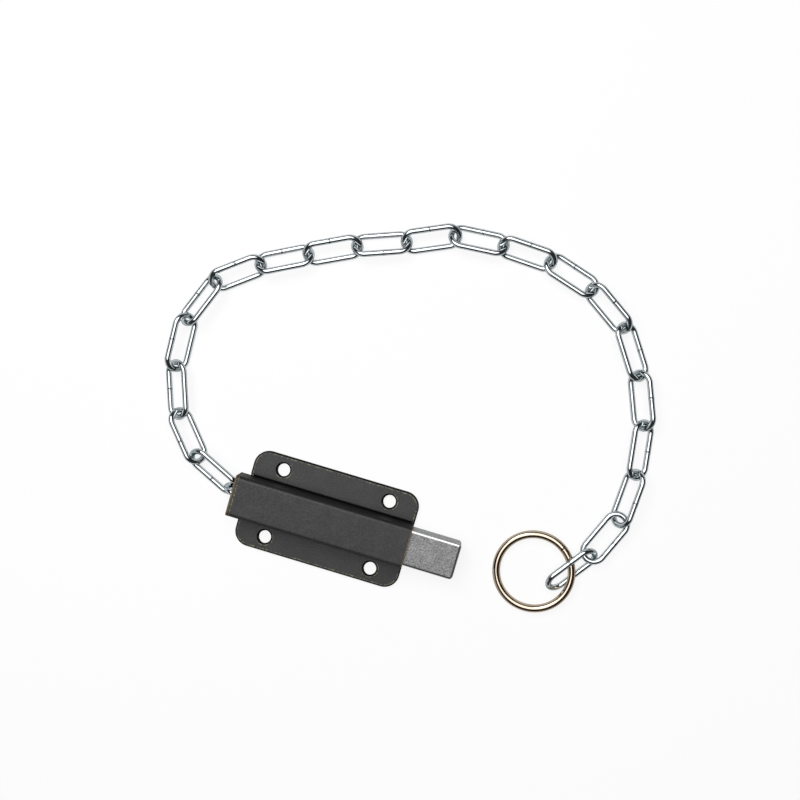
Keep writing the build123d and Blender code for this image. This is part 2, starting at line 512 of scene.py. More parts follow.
@dataclass(frozen=True)
class PlatedWire:
    """Bright plated wire with fine lines along it and a duller random mottle."""

    colour: Colour
    edge_colour: Colour
    stain: Colour
    roughness: float
    pitting: float = 0.6
    stretch: float = 0.06
    drawn_grain: float = 0.45
    cloud_grain: float = 5.0
    pit_grain: float = 0.75
    nick_grain: float = 0.6
    drawn_depth: float = 0.012

    def material(self, name: str) -> bpy.types.Material:
        """Builds the finish; the mesh carries each point's place along and round the wire."""
        sheet = FinishSheet(name)
        run, around = sheet.attribute("along"), sheet.attribute("around")
        unrolled = sheet.combined(
            run * (self.stretch * MM), sheet.math("COSINE", around) * MM,
            sheet.math("SINE", around) * MM)
        drawn = sheet.noise(self.drawn_grain, 3.0, 0.6, unrolled)
        cloud = sheet.noise(self.cloud_grain, 3.0)
        pits = sheet.noise(self.pit_grain, 2.0, 0.5).step(0.66, 0.72)
        nick = sheet.attribute("weld") * sheet.noise(self.nick_grain, 2.0, 0.5).step(0.36, 0.56)
        dull = cloud.step(0.3, 0.8) * 0.3 + drawn.step(0.45, 0.75) * 0.4
        colour = sheet.mix(dull, self.colour, shaded(self.colour, 0.62))
        return sheet.principled(
            Base_Color=sheet.mix((pits * self.pitting).most(nick), colour, self.stain),
            Metallic=1.0,
            Specular_Tint=self.edge_colour,
            Roughness=self.roughness + 0.07 * drawn + 0.25 * nick,
            Normal=sheet.bump(drawn, self.drawn_depth, 0.25),
        )


@dataclass(frozen=True)
class PlainSteel:
    """Plain zinc-plated steel for the pieces inside the case."""

    colour: Colour = (0.42, 0.42, 0.41)
    roughness: float = 0.36
    cloud_grain: float = 3.5
    drawn_grain: float = 0.35
    drawn_depth: float = 0.015

    def material(self, name: str) -> bpy.types.Material:
        """Builds the finish."""
        sheet = FinishSheet(name)
        cloud = sheet.noise(self.cloud_grain, 3.0)
        drawn = sheet.noise(self.drawn_grain, 3.0, 0.6, sheet.stretched(0.1, 1.0, 1.0))
        return sheet.principled(
            Base_Color=sheet.mix(cloud.step(0.3, 0.75), self.colour, shaded(self.colour, 0.7)),
            Metallic=1.0,
            Roughness=self.roughness + 0.12 * drawn,
            Normal=sheet.bump(drawn, self.drawn_depth, 0.5),
        )


# Mesh helpers


def mesh_object(name: str, mesh: bpy.types.Mesh) -> bpy.types.Object:
    """Puts a mesh in the scene as an object at the origin."""
    made = bpy.data.objects.new(name, mesh)
    bpy.context.scene.collection.objects.link(made)
    return made


def from_bmesh(
    name: str, shape: bmesh.types.BMesh, smooth_below: float = 35.0
) -> bpy.types.Object:
    """Turns a bmesh into a smooth-shaded object with sharp edges kept.

    Args:
        name: the object's name.
        shape: the bmesh, which is freed.
        smooth_below: edges bent less than this many degrees are shaded smooth.

    Returns:
        The object.
    """
    bmesh.ops.remove_doubles(shape, verts=shape.verts, dist=SAME_POINT * MM)
    bmesh.ops.recalc_face_normals(shape, faces=shape.faces)
    limit = math.radians(smooth_below)
    for edge in shape.edges:
        edge.smooth = len(edge.link_faces) == 2 and edge.calc_face_angle(0.0) < limit
    for face in shape.faces:
        face.smooth = True
    mesh = bpy.data.meshes.new(name)
    shape.to_mesh(mesh)
    shape.free()
    carrier = mesh_object(f"{name}_carrier", mesh)
    carrier.modifiers.new("flat faces stay flat", "WEIGHTED_NORMAL").keep_sharp = True
    return mesh_object(name, evaluated_mesh(carrier, name))


def settle(
    piece: bpy.types.Object, body: str, node: str, finish: bpy.types.Material
) -> None:
    """Dresses a finished piece, lets it ride on its body and stand for its CAD node."""
    piece.data.materials.clear()
    piece.data.materials.append(finish)
    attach(piece, body)
    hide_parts(node)
    LOG.info("%s rides on %s, %d faces", piece.name, body, len(piece.data.polygons))


def in_millimetres(box: tuple[Vector, Vector]) -> tuple[Vector, Vector, Vector]:
    """A box's lowest corner, its highest corner and its middle, in millimetres."""
    low, high = (corner / MM for corner in box)
    return low, high, (low + high) / 2


def lift(shape: bmesh.types.BMesh, height: float) -> None:
    """Puts a plate drawn in millimetres at a height and turns it into metres."""
    for vert in shape.verts:
        vert.co = (vert.co + Vector((0.0, 0.0, height))) * MM


def evaluated_mesh(carrier: bpy.types.Object, name: str) -> bpy.types.Mesh:
    """The plain mesh that a carrier's modifiers make; the carrier is removed."""
    bpy.context.view_layer.update()
    graph = bpy.context.evaluated_depsgraph_get()
    mesh = bpy.data.meshes.new_from_object(carrier.evaluated_get(graph))
    mesh.name = name
    bpy.data.objects.remove(carrier)
    return mesh


# Sheet metal


@dataclass
class SheetOutline:
    """A closed outline with round holes, as a plate with broken edges."""

    points: list[tuple[float, float]]
    holes: list[tuple[float, float, float]]
    thickness: float
    break_width: float = 0.14
    break_steps: int = 2
    hole_steps: int = 48
    same_point: float = 0.001

    def plate(self, name: str) -> bmesh.types.BMesh:
        """Builds the plate, its middle on Z = 0, in millimetres."""
        flat = bpy.data.curves.new(name, "CURVE")
        flat.dimensions = "2D"
        flat.fill_mode = "BOTH"
        flat.extrude = self.thickness / 2 - self.break_width
        flat.bevel_depth = self.break_width
        flat.bevel_resolution = self.break_steps
        flat.offset = -self.break_width
        turns = [2 * math.pi * i / self.hole_steps for i in range(self.hole_steps)]
        rings = [
            [(x + radius * math.cos(turn), y + radius * math.sin(turn)) for turn in turns]
            for x, y, radius in self.holes
        ]
        for ring in [self.points, *rings]:
            spline = flat.splines.new("POLY")
            spline.points.add(len(ring) - 1)
            for point, (px, py) in zip(spline.points, ring):
                point.co = (px, py, 0.0, 1.0)
            spline.use_cyclic_u = True
        carrier = bpy.data.objects.new(name, flat)
        bpy.context.scene.collection.objects.link(carrier)
        mesh = evaluated_mesh(carrier, name)
        shape = bmesh.new()
        shape.from_mesh(mesh)
        bpy.data.meshes.remove(mesh)
        bmesh.ops.remove_doubles(shape, verts=shape.verts, dist=self.same_point)
        return shape


def rounded_corner(
    centre: tuple[float, float], radius: float, start: float, steps: int = 12
) -> list[tuple[float, float]]:
    """Points of a quarter circle, from the start angle in degrees and turning left."""
    return [
        (centre[0] + radius * math.cos(math.radians(start + 90 * i / steps)),
         centre[1] + radius * math.sin(math.radians(start + 90 * i / steps)))
        for i in range(steps + 1)
    ]


@dataclass
class FoldedCase:
    """The case, cut flat with its holes and corner reliefs and then folded to a hat."""

    sizes: CaseSizes = CaseSizes()
    relief_length: float = 1.6
    relief_start: float = 0.35
    relief_margin: float = 0.1
    bend_steps: int = 8
    cut_reach: float = 1e-5
    smooth_below: float = 24.0
    finish: PowderCoat = PowderCoat()

    def _stations(self) -> tuple[float, ...]:
        """Where roof, upper fold, wall, lower fold and flange end, from the sheet's middle."""
        sizes, radius = self.sizes, self.sizes.bend_middle
        wall_middle = sizes.channel_half + sizes.sheet / 2
        arc = math.pi / 2 * radius
        wall = sizes.channel_height + sizes.sheet - 2 * radius
        return tuple(accumulate(
            (wall_middle - radius, arc, wall, arc, sizes.half_width - wall_middle - radius)))

    def _fold(self, across: float, off: float) -> tuple[float, float]:
        """Folds one point of the flat sheet.

        Args:
            across: its length across the sheet, from the middle.
            off: its height over the sheet's middle.

        Returns:
            Its Y and Z.
        """
        sizes, radius = self.sizes, self.sizes.bend_middle
        side, run = math.copysign(1.0, across), abs(across)
        roof, upper, wall, lower, _ = self._stations()
        top = sizes.top - sizes.sheet / 2
        wall_y = sizes.channel_half + sizes.sheet / 2
        low = sizes.sheet + sizes.sheet / 2
        if run <= roof:
            y, z = run, top + off
        elif run <= upper:
            turn = (run - roof) / radius
            y = roof + (radius + off) * math.sin(turn)
            z = top - radius + (radius + off) * math.cos(turn)
        elif run <= wall:
            y, z = wall_y + off, top - radius - (run - upper)
        elif run <= lower:
            turn = (run - wall) / radius
            y = wall_y + radius - (radius - off) * math.cos(turn)
            z = low + radius - (radius - off) * math.sin(turn)
        else:
            y, z = wall_y + radius + (run - lower), low + off
        return side * y, z

    def _outline(self) -> list[tuple[float, float]]:
        """The flat sheet's outline, channel overhang, reliefs and round corners included."""
        _, _, wall_end, lower_end, rim = self._stations()
        ends, corner, mouth = self.sizes.half_length, self.sizes.corner, self.sizes.mouth
        notch_in = wall_end + self.relief_start * (lower_end - wall_end)
        notch_out = lower_end - self.relief_margin
        cut = ends - self.relief_length
        right = [(ends, notch_in), (cut, notch_in), (cut, notch_out), (ends, notch_out)]
        right += rounded_corner((ends - corner, rim - corner), corner, 0.0)
        left = rounded_corner((corner - ends, rim - corner), corner, 90.0)
        left += [(-ends, notch_out), (-cut, notch_out), (-cut, notch_in), (mouth, notch_in)]
        upper = right + left
        return upper + [(x, -s) for x, s in reversed(upper)]

    def build(self) -> bpy.types.Object:
        """Cuts, folds and shades the case."""
        sizes = self.sizes
        roof, upper, wall, lower, rim = self._stations()
        hole_x, hole_run = sizes.hole_place[0], rim - (sizes.half_width - sizes.hole_place[1])
        holes = [
            (sx * hole_x, sy * hole_run, sizes.hole_radius) for sx in (1, -1) for sy in (1, -1)
        ]
        shape = SheetOutline(self._outline(), holes, sizes.sheet).plate("case_flat")
        for start, end in ((roof, upper), (wall, lower)):
            for i in range(self.bend_steps + 1):
                run = start + (end - start) * i / self.bend_steps
                for side in (run, -run):
                    whole = [*shape.verts, *shape.edges, *shape.faces]
                    bmesh.ops.bisect_plane(
                        shape, geom=whole, dist=self.cut_reach, plane_co=(0, side, 0),
                        plane_no=(0, 1, 0))
        for vert in shape.verts:
            vert.co = Vector((vert.co.x, *self._fold(vert.co.y, vert.co.z))) * MM
        return from_bmesh("folded_case", shape, self.smooth_below)

    def dress(self) -> None:
        """Builds the case, coats it and puts it on the housing."""
        coat = self.finish.material("case_coat", True)
        settle(self.build(), "housing", "case", coat)


@dataclass
class BackPlate:
    """The flat plate behind the case, same outline, its holes set a little off so that a
    crescent of the black plate shows in each hole as a painted shadow.
    """

    sizes: CaseSizes = CaseSizes()
    # Shifts the rear holes so that a crescent of the black plate stands in for the shadow inside each
    # hole.
    shadow_crescent_shift: tuple[float, float] = (0.4, -0.22)
    smooth_below: float = 24.0
    finish: PowderCoat = PowderCoat()

    def dress(self) -> None:
        """Builds the plate, coats it and puts it on the housing."""
        sizes = self.sizes
        inner_x, inner_y = sizes.half_length - sizes.corner, sizes.half_width - sizes.corner
        points: list[tuple[float, float]] = []
        for quarter, (sx, sy) in enumerate(((1, 1), (-1, 1), (-1, -1), (1, -1))):
            points += rounded_corner((sx * inner_x, sy * inner_y), sizes.corner, 90.0 * quarter)
        (hole_x, hole_y), (drift_x, drift_y) = sizes.hole_place, self.shadow_crescent_shift
        holes = [
            (sx * hole_x + drift_x, sy * hole_y + drift_y, sizes.hole_radius)
            for sx in (1, -1) for sy in (1, -1)
        ]
        shape = SheetOutline(points, holes, sizes.sheet).plate("plate_flat")
        lift(shape, sizes.sheet / 2)
        plate = from_bmesh("rear_plate", shape, self.smooth_below)
        coat = self.finish.material("plate_coat", False)
        settle(plate, "housing", "back_plate", coat)


# Bar, rod, spring and stop


def loft(shape: bmesh.types.BMesh, rings: list[list[Vector]]) -> list[list[bmesh.types.BMVert]]:
    """Joins rings of points with quads.

    Args:
        shape: the bmesh that gets the faces.
        rings: rings with the same number of points each.

    Returns:
        The rings' vertices.
    """
    made = [[shape.verts.new(point) for point in ring] for ring in rings]
    for first, second in zip(made, made[1:]):
        count = len(first)
        for i in range(count):
            j = (i + 1) % count
            shape.faces.new((first[i], first[j], second[j], second[i]))
    return made


def round_ring(x: float, radius: float, centre_z: float, steps: int) -> list[Vector]:
    """Points of a circle round the X direction, in metres."""
    angles = (2 * math.pi * i / steps for i in range(steps))
    return [Vector((x, radius * math.cos(a), centre_z + radius * math.sin(a))) * MM for a in angles]


@dataclass
class FlatBolt:
    """The flat bar that shoots out of the case, with a tapped hole in its tail."""

    half_width: float = 9.5
    half_thickness: float = 6.75
    hole_radius: float = 3.05
    hole_depth: float = 12.0
    hole_steps: int = 28
    body_rings: int = 24
    rolled_edge: tuple[tuple[float, float], ...] = (
        (0.0, 1.05), (0.03, 0.80), (0.12, 0.55), (0.27, 0.35), (0.48, 0.19), (1.10, 0.03),
        (1.35, 0.0))
    nose_corner: float = 1.8
    tail_break: float = 0.4
    smooth_below: float = 40.0
    finish: TumbledBar = TumbledBar()

    def _section(self, x: float, inset: float, centre_z: float, nose: float) -> list[Vector]:
        """The bar's section at X, its four edges rolled, pulled in by inset near an end."""
        left = max(self.nose_corner - (nose - x), 0.0)
        round_in = self.nose_corner - math.sqrt(self.nose_corner ** 2 - left ** 2)
        half_y, half_z = self.half_width - max(inset, round_in), self.half_thickness - inset
        corner = [(half_y - across, half_z - down) for across, down in self.rolled_edge]
        turned = [(-y, z) for y, z in reversed(corner)]
        upper = corner + turned
        lower = [(-y, -z) for y, z in upper]
        return [Vector((x, y, centre_z + z)) * MM for y, z in upper + lower]

    def dress(self) -> None:
        """Builds the bolt, finishes it and lets it slide."""
        low, high, middle = in_millimetres(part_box("bolt"))
        tail, nose, centre_z = low.x, high.x, middle.z
        small = self.tail_break
        tail_part = [(tail + small * across, small * down) for across, down in self.rolled_edge]
        nose_part = [(nose - across, down) for across, down in reversed(self.rolled_edge)]
        start, end = tail_part[-1][0], nose_part[0][0]
        pitch = (end - start) / self.body_rings
        body = [(start + pitch * i, 0.0) for i in range(1, self.body_rings)]
        places = tail_part + body + nose_part
        rings = [self._section(x, inset, centre_z, nose) for x, inset in places]
        shape = bmesh.new()
        made = loft(shape, rings)
        shape.faces.new(made[-1])
        hole = round_ring(tail, self.hole_radius, centre_z, self.hole_steps)
        deep = round_ring(tail + self.hole_depth, self.hole_radius, centre_z, self.hole_steps)
        bore = loft(shape, [hole, deep])
        shape.faces.new(bore[-1])
        tail_edges = [edge for edge in shape.edges if len(edge.link_faces) == 1]
        bmesh.ops.triangle_fill(shape, use_beauty=True, edges=tail_edges)
        bar = from_bmesh("flat_bolt", shape, self.smooth_below)
        settle(bar, "bolt", "bolt", self.finish.material("bar_finish"))


@dataclass
class DrawRod:
    """The rod that screws into the bolt and takes the chain in its flattened eye."""

    shank_radius: float = 3.0
    eye_half_width: float = 5.25
    eye_half_thickness: float = 2.0
    eye_hole: float = 2.5
    eye_edge: float = 0.45
    root: float = 1.0
    chamfer: float = 0.5
    shoulder_gap: float = 0.05
    chamfer_length: float = 0.6
    round_steps: int = 32
    finish: PlainSteel = PlainSteel()

    def dress(self) -> None:
        """Builds the shank and the eye and lets them slide with the bolt."""
        low, high, middle = in_millimetres(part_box("draw_rod"))
        reach, steps = self.eye_half_width, self.round_steps
        eye_x, end_x, centre_z = low.x + reach, high.x, middle.z
        shoulder = eye_x + reach
        half_turn = [math.pi / 2 + math.pi * i / steps for i in range(steps + 1)]
        outline = [(eye_x + reach * math.cos(turn), reach * math.sin(turn)) for turn in half_turn]
        outline += [(shoulder, -reach), (shoulder, reach)]
        eye = SheetOutline(
            outline, [(eye_x, 0.0, self.eye_hole)], 2 * self.eye_half_thickness, self.eye_edge)
        shape = eye.plate("eye_flat")
        lift(shape, centre_z)
        full, thin = self.shank_radius, self.shank_radius - self.chamfer
        shank = ((shoulder - self.root, thin), (shoulder - self.shoulder_gap, full),
                 (end_x - self.chamfer_length, full), (end_x, thin))
        made = loft(shape, [round_ring(x, radius, centre_z, steps) for x, radius in shank])
        shape.faces.new(made[0][::-1])
        shape.faces.new(made[-1])
        rod = from_bmesh("draw_rod_and_eye", shape)
        settle(rod, "bolt", "draw_rod", self.finish.material("rod_finish"))


@dataclass
class SpringStop:
    """The plate welded across the channel, bored for the draw rod."""

    sizes: CaseSizes = CaseSizes()
    bore: float = 3.4
    edge: float = 0.2
    smooth_below: float = 24.0
    finish: PlainSteel = PlainSteel((0.16, 0.16, 0.165), 0.5)

    def dress(self) -> None:
        """Builds the stop and puts it on the housing."""
        low, high, middle = in_millimetres(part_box("spring_stop"))
        thickness, half_height = high.x - low.x, (high.z - low.z) / 2
        width, corner = self.sizes.channel_half, self.sizes.bend
        points = rounded_corner((width - corner, half_height - corner), corner, 0.0)
        points += rounded_corner((corner - width, half_height - corner), corner, 90.0)
        points += [(-width, -half_height), (width, -half_height)]
        bore_z = in_millimetres(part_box("draw_rod"))[2].z - middle.z
        outline = SheetOutline(points, [(0.0, bore_z, self.bore)], thickness, self.edge)
        shape = outline.plate("stop_flat")
        for vert in shape.verts:
            vert.co = Vector((middle.x + vert.co.z, vert.co.x, middle.z + vert.co.y)) * MM
        stop = from_bmesh("channel_stop", shape, self.smooth_below)
        settle(stop, "housing", "spring_stop", self.finish.material("stop_finish"))


# Geometry Nodes


class Recipe(NodeSheet):
    """A Geometry Nodes tree with named number inputs."""

    def __init__(self, name: str, inputs: dict[str, float]) -> None:
        """Makes the tree with its inputs and their usual values."""
        super().__init__(bpy.data.node_groups.new(name, "GeometryNodeTree"))
        self.identifiers: dict[str, str] = {}
        for label, value in inputs.items():
            kind = "NodeSocketInt" if isinstance(value, int) else "NodeSocketFloat"
            self._open(label, "INPUT", kind).default_value = value
        self._open("Finish", "INPUT", "NodeSocketMaterial")
        self._open("Geometry", "OUTPUT", "NodeSocketGeometry")
        self.start = self.tree.nodes.new("NodeGroupInput")
        self.end = self.tree.nodes.new("NodeGroupOutput")

    def _open(self, label: str, way: str, kind: str) -> bpy.types.NodeTreeInterfaceSocket:
        """Opens an input or an output of the tree and keeps its identifier."""
        socket = self.tree.interface.new_socket(label, in_out=way, socket_type=kind)
        self.identifiers[label] = socket.identifier
        return socket

    def given(self, label: str) -> Signal:
        """An input of the tree."""
        return Signal(self, self.start.outputs[label])

    def mark(self, geometry: Signal, name: str, value: object) -> Signal:
        """Stores a number on the points under a name that the finishes read."""
        settings: dict[str, object] = {"data_type": "FLOAT", "domain": "POINT"}
        return self.node("GeometryNodeStoreNamedAttribute", settings, {
            "Geometry": geometry, "Name": name, "Value": value})

    def swept(self, curve: Signal, profile: Signal, caps: bool, scale: object) -> None:
        """Sweeps a profile along a curve and ends in Realize Instances and Set Material."""
        tube = self.node("GeometryNodeCurveToMesh", None, {
            "Curve": curve, "Profile Curve": profile, "Fill Caps": caps, "Scale": scale})
        real = self.node("GeometryNodeRealizeInstances", None, {0: tube})
        dressed = self.node("GeometryNodeSetMaterial", None, {
            "Geometry": real, "Material": self.given("Finish")})
        self.tree.links.new(dressed.socket, self.end.inputs[0])

    def make(self, name: str, values: dict[str, object]) -> bpy.types.Object:
        """Runs the tree with these inputs and returns the plain mesh as an object."""
        carrier = mesh_object(name + "_carrier", bpy.data.meshes.new(name + "_carrier"))
        modifier = carrier.modifiers.new("recipe", "NODES")
        modifier.node_group = self.tree
        for label, value in values.items():
            modifier[self.identifiers[label]] = value
        mesh = evaluated_mesh(carrier, name)
        for polygon in mesh.polygons:
            polygon.use_smooth = True
        return mesh_object(name, mesh)


def wire_loop_recipe() -> Recipe:
    """Builds the tree that sweeps round wire along a flat loop and marks its butt weld.

    Returns:
        The tree; its loop is a circle drawn out along X, a link with legs or a plain ring.
    """
    tree = Recipe("Welded wire loop", {
        "Half Leg": 9.0, "Bow Radius": 5.5, "Waist": 0.0, "Bulge": 0.0, "Wire Radius": 1.5,
        "Stations": 260, "Wire Sides": 20, "Weld Place": 0.0, "Weld Side": -1.0, "Swell": 0.04,
        "Groove": 0.1,
    })
    circle_points = 720
    swell_width, groove_width, stain_width = 1.1, 0.33, 0.42
    circle = tree.node("GeometryNodeCurvePrimitiveCircle", None, {
        "Resolution": circle_points, "Radius": 1.0})
    x, y, _ = tree.split(tree.node("GeometryNodeInputPosition"))
    half_leg, bow = tree.given("Half Leg"), tree.given("Bow Radius")
    reach = tree.math("SIGN", x) * half_leg + x * bow
    share = tree.math("POWER", abs(reach / (half_leg + bow)), 2.0)
    side = y * bow * (tree.given("Bulge") + 1.0 - share * tree.given("Waist"))
    loop = tree.node("GeometryNodeSetPosition", None, {
        "Geometry": circle, "Position": tree.combined(reach, side)})
    even = tree.node("GeometryNodeResampleCurve", None, {
        "Curve": loop, "Count": tree.given("Stations")})
    along, aside, _ = tree.split(tree.node("GeometryNodeInputPosition"))
    here = tree.math("GREATER_THAN", aside * tree.given("Weld Side"), 0.0)
    off = along - tree.given("Weld Place")

    def hump(width: float) -> Signal:
        """A bell of that width in millimetres at the weld."""
        ratio = off / width
        return here * tree.math("EXPONENT", ratio * ratio * -1.0)

    swell = hump(swell_width) * tree.given("Swell")
    groove = hump(groove_width) * tree.given("Groove")
    marked = tree.mark(even, "weld", hump(stain_width))
    marked = tree.mark(marked, "along", tree.node("GeometryNodeSplineParameter", out="Length"))
    sized = tree.node("GeometryNodeSetCurveRadius", None, {
        "Curve": marked, "Radius": swell - groove + 1.0})
    profile = tree.node("GeometryNodeCurvePrimitiveCircle", None, {
        "Resolution": tree.given("Wire Sides"), "Radius": tree.given("Wire Radius")})
    turn = tree.node("GeometryNodeSplineParameter", out="Factor") * (2 * math.pi)
    radius = tree.node("GeometryNodeInputRadius")
    tree.swept(sized, tree.mark(profile, "around", turn), False, radius)
    return tree


class WeldSide(Enum):
    """Which leg of a link has its butt weld, seen from the inside of the loop."""

    OUTER = -1.0
    INNER = 1.0


@dataclass
class LoopPlace:
    """Where one loop of wire lies, read from its own CAD solid."""

    middle: Vector
    along: Vector
    across: Vector

    @classmethod
    def read(cls, node: str) -> "LoopPlace":
        """Finds a loop's middle and its own axes from the surface of its node."""
        mesh = frame["nodes"][node].data
        mesh.calc_loop_triangles()
        points = np.array([vert.co for vert in mesh.vertices], float)
        corners = points[np.array([tri.vertices[:] for tri in mesh.loop_triangles])]
        normals = np.cross(corners[:, 1] - corners[:, 0], corners[:, 2] - corners[:, 0])
        areas = np.linalg.norm(normals, axis=1)
        centres = corners.mean(axis=1)
        middle = (centres * areas[:, None]).sum(axis=0) / areas.sum()
        spread = np.zeros((3, 3))
        for a, b in ((0, 1), (1, 2), (2, 0)):
            halfway = (corners[:, a] + corners[:, b]) / 2 - middle
            spread += (halfway * areas[:, None]).T @ halfway
        _, axes = np.linalg.eigh(spread)
        return cls(Vector(middle), Vector(axes[:, 2]), Vector(axes[:, 1]))

    def faced(self, onward: Vector, inside: Vector) -> "LoopPlace":
        """The same place with its axes turned onward along the chain and to the loop's inside."""
        along = self.along if self.along.dot(onward) > 0 else -self.along
        across = self.across if self.across.dot(inside) > 0 else -self.across
        return LoopPlace(self.middle, along, across)

    def seamed(self, towards: Vector) -> "LoopPlace":
        """The same flat place turned in its plane, its across axis on the side of a direction."""
        normal = self.along.cross(self.across).normalized()
        across = (towards - normal * towards.dot(normal)).normalized()
        return LoopPlace(self.middle, across.cross(normal), across)

    def matrix(self) -> Matrix:
        """The scale, turn and shift that puts a flat loop drawn in millimetres here."""
        up = self.along.cross(self.across)
        turn = Matrix((self.along, self.across, up)).transposed().to_4x4()
        return Matrix.Translation(self.middle) @ turn @ Matrix.Scale(MM, 4)


@dataclass
class LongLinkChain:
    """The chain: closed links of round wire, each welded at the middle of one leg."""

    wire: float = 3.0
    inner_length: float = 26.0
    inner_width: float = 8.0
    waist: float = 0.05
    bulge: float = 0.035
    swell: float = 0.045
    groove: float = 0.12
    seed: int = 11
    inner_welds: tuple[int, ...] = (9, 20)
    weld_wander: float = 1.6
    weld_spread: Band = (0.6, 1.3)
    finish: PlatedWire = PlatedWire(
        colour=(0.56, 0.59, 0.6), edge_colour=(0.12, 0.26, 0.3), stain=(0.04, 0.05, 0.055),
        roughness=0.09)

    def dress(self) -> None:
        """Makes every link, puts it where its solid lies and lets it ride on its body."""
        names = [f"link_{number:02d}" for number in range(LINK_COUNT)]
        places = [LoopPlace.read(name) for name in names]
        centre = sum((place.middle for place in places), Vector()) / LINK_COUNT
        recipe = wire_loop_recipe()
        finish = self.finish.material("bright_zinc")
        chance = np.random.default_rng(self.seed)
        bow_radius = (self.inner_width + self.wire) / 2
        half_leg = (self.inner_length + self.wire) / 2 - bow_radius
        for number, (name, place) in enumerate(zip(names, places)):
            before, after = places[max(number - 1, 0)], places[min(number + 1, LINK_COUNT - 1)]
            side = WeldSide.INNER if number in self.inner_welds else WeldSide.OUTER
            link = recipe.make(f"chain_{name}", {
                "Half Leg": half_leg, "Bow Radius": bow_radius, "Waist": self.waist,
                "Bulge": self.bulge, "Wire Radius": self.wire / 2, "Weld Side": side.value,
                "Weld Place": chance.uniform(-self.weld_wander, self.weld_wander),
                "Swell": self.swell * chance.uniform(*self.weld_spread),
                "Groove": self.groove * chance.uniform(*self.weld_spread),
            })
            faced = place.faced(after.middle - before.middle, centre - place.middle)
            link.data.transform(faced.matrix())
            settle(link, name, name, finish)


@dataclass
class PullRing:
    """The round pull ring, bent from wire and butt welded."""

    wire: float = 4.0
    outside: float = 43.0
    stations: int = 420
    wire_sides: int = 32
    seam_towards: tuple[float, float, float] = (0.57, 0.82, 0.0)
    swell: float = 0.012
    groove: float = 0.06
    finish: PlatedWire = PlatedWire(
        colour=(0.5, 0.415, 0.325), edge_colour=(0.33, 0.24, 0.165), stain=(0.09, 0.06, 0.04),
        roughness=0.03, pitting=0.15)

    def dress(self) -> None:
        """Builds the ring where its solid lies."""
        place = LoopPlace.read("pull_ring").seamed(Vector(self.seam_towards))
        ring = wire_loop_recipe().make("round_pull_ring", {
            "Half Leg": 0.0, "Bow Radius": (self.outside - self.wire) / 2,
            "Wire Radius": self.wire / 2, "Stations": self.stations, "Wire Sides": self.wire_sides,
            "Weld Side": WeldSide.INNER.value, "Swell": self.swell, "Groove": self.groove,
        })
        ring.data.transform(place.matrix())
        settle(ring, "ring", "pull_ring", self.finish.material("warm_nickel"))


@dataclass
class ReturnSpring:
    """The coil spring round the draw rod, ground flat at both ends."""

    turns: float = 10.0
    wire: float = 1.0
    outside: float = 11.0
    closed_turns: float = 0.55
    end_inset: float = 1.6
    stations: int = 720
    wire_sides: int = 12
    finish: PlatedWire = PlatedWire(
        colour=(0.36, 0.36, 0.36), edge_colour=(0.2, 0.2, 0.2), stain=(0.1, 0.1, 0.1),
        roughness=0.28)

    def recipe(self) -> Recipe:
        """Builds the tree that coils the wire along X between two flat ends."""
        tree = Recipe("Coil spring", {
            "Turns": self.turns, "Length": 39.0, "Coil Radius": 5.0, "Wire Radius": self.wire / 2,
            "Closed Share": 0.1, "Stations": self.stations,
        })
        line = tree.node("GeometryNodeCurvePrimitiveLine")
        even = tree.node("GeometryNodeResampleCurve", None, {
            "Curve": line, "Count": tree.given("Stations")})
        share = tree.node("GeometryNodeSplineParameter", out="Factor")
        angle = share * (tree.given("Turns") * (2 * math.pi))
        closed, radius = tree.given("Closed Share"), tree.given("Coil Radius")
        inset = tree.given("Wire Radius") * self.end_inset
        x = tree.node("ShaderNodeMapRange", None, {
            "Value": share, "From Min": closed, "From Max": 1.0 - closed,
            "To Min": inset, "To Max": tree.given("Length") - inset})
        round_x = tree.combined(
            x, radius * tree.math("COSINE", angle), radius * tree.math("SINE", angle))
        coil = tree.node("GeometryNodeSetPosition", None, {"Geometry": even, "Position": round_x})
        profile = tree.node("GeometryNodeCurvePrimitiveCircle", None, {
            "Resolution": self.wire_sides, "Radius": tree.given("Wire Radius")})
        tree.swept(tree.mark(coil, "along", angle * radius), profile, True, 1.0)
        return tree

    def dress(self) -> None:
        """Makes the spring between the stop and the bolt and puts it on the housing."""
        low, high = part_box("spring")
        length = (high.x - low.x) / MM
        spring = self.recipe().make("return_spring", {
            "Length": length, "Coil Radius": (self.outside - self.wire) / 2,
            "Wire Radius": self.wire / 2, "Turns": self.turns,
            "Closed Share": self.closed_turns / self.turns,
        })
        spring.data.transform(Matrix.Scale(MM, 4))
        spring.data.transform(Matrix.Translation((low.x, (low.y + high.y) / 2, (low.z + high.z) / 2)))
        settle(spring, "housing", "spring", self.finish.material("spring_wire"))
        slide = next(joint for joint in frame["joints"] if joint["name"] == "bolt_slide")
        travel = slide["range_m"][1] / MM
        (length - travel) / length
        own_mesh(spring)


# Studio


@dataclass(frozen=True)
class SoftLight:
    """One round soft light: where it hangs, how wide it is and its power in watts."""

    name: str
    place: tuple[float, float, float]
    width: float
    power: float


